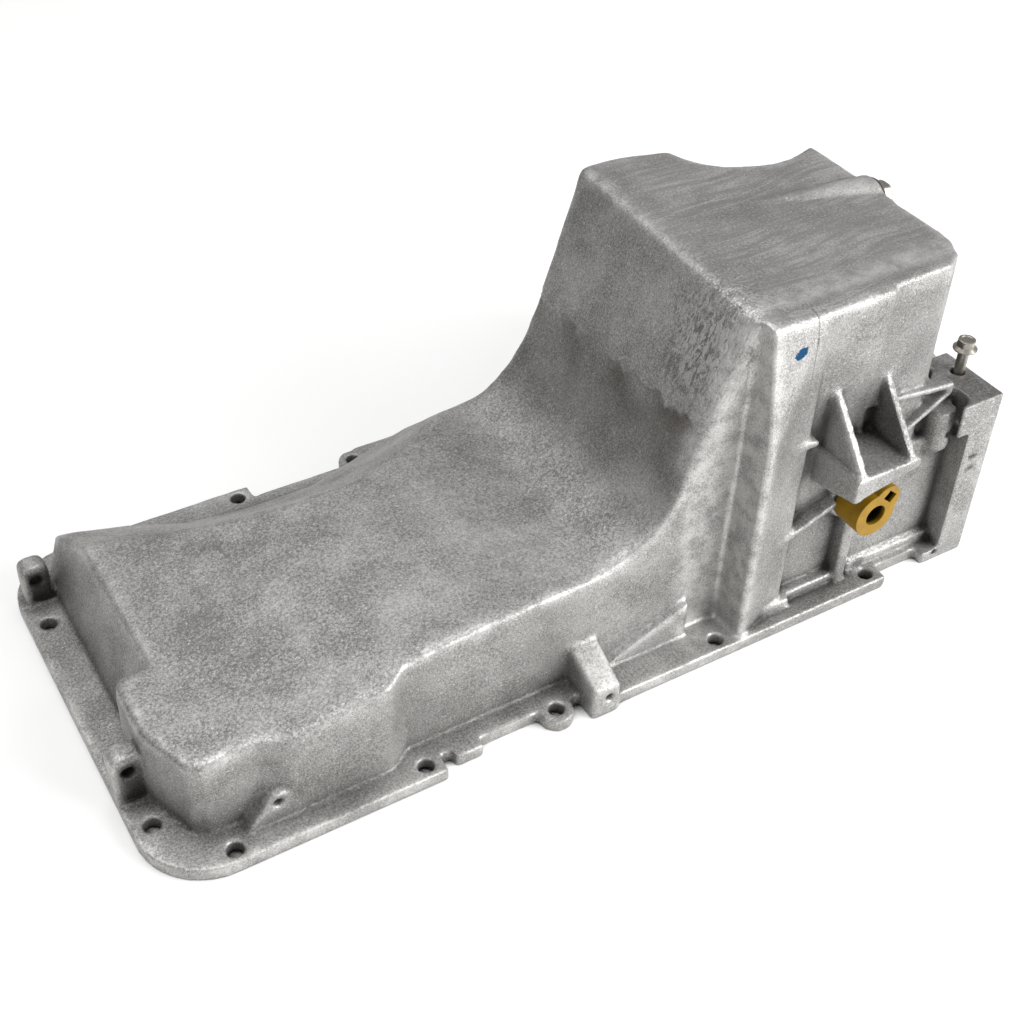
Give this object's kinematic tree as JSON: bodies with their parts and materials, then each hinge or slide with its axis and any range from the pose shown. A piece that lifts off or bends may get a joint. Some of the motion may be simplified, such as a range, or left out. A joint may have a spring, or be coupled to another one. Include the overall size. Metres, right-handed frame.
{
  "type": "engine oil pan",
  "caption": "Deep-sump cast engine oil pan with ramped shallow front, bell flange, guarded level sensor, drain plug, filter seat with bypass valve, and inner baffle.",
  "frame": {"origin": "centre of the rectangle of the four outer rail bolt holes, on the rail face, which is the face it rests on", "axes": "+X towards the bell flange and the deep sump, -Y the level sensor side, +Y the oil filter side, +Z from the rail face up to the sump floor (down in the vehicle)"},
  "size_m": [0.513, 0.2766, 0.213],
  "materials": {
    "cast_aluminium": "sand-cast, dull",
    "amber_plastic": "moulded",
    "rubber": "matt",
    "zinc_steel": "zinc plated",
    "spring_steel": "drawn wire",
    "sheet_steel": "stamped sheet",
    "machined_aluminium": "machined"
  },
  "bodies": {
    "pan": {"pan_casting": "cast_aluminium", "level_sensor": "amber_plastic", "sensor_seal": "rubber", "drain_plug": "zinc_steel", "drain_washer": "rubber", "corner_bolt": "zinc_steel", "filter_nipple": "zinc_steel", "bypass_cage": "sheet_steel", "bypass_spring": "spring_steel", "gallery_cover": "machined_aluminium", "cover_gasket": "rubber", "cover_bolt_1": "zinc_steel", "cover_bolt_2": "zinc_steel", "gallery_plug": "zinc_steel", "baffle": "sheet_steel", "baffle_bolt_1": "zinc_steel", "baffle_bolt_2": "zinc_steel", "baffle_bolt_3": "zinc_steel", "baffle_bolt_4": "zinc_steel"},
    "bypass_valve": {"bypass_disc": "sheet_steel"}
  },
  "joints": [
    {"name": "bypass_slide", "type": "slide", "parent": "pan", "child": "bypass_valve", "axis": [0, 0, -1], "range_m": [0, 0.003], "stiffness_N_per_m": 900, "springref_m": -0.001, "deforming": ["bypass_spring"]}
  ]
}
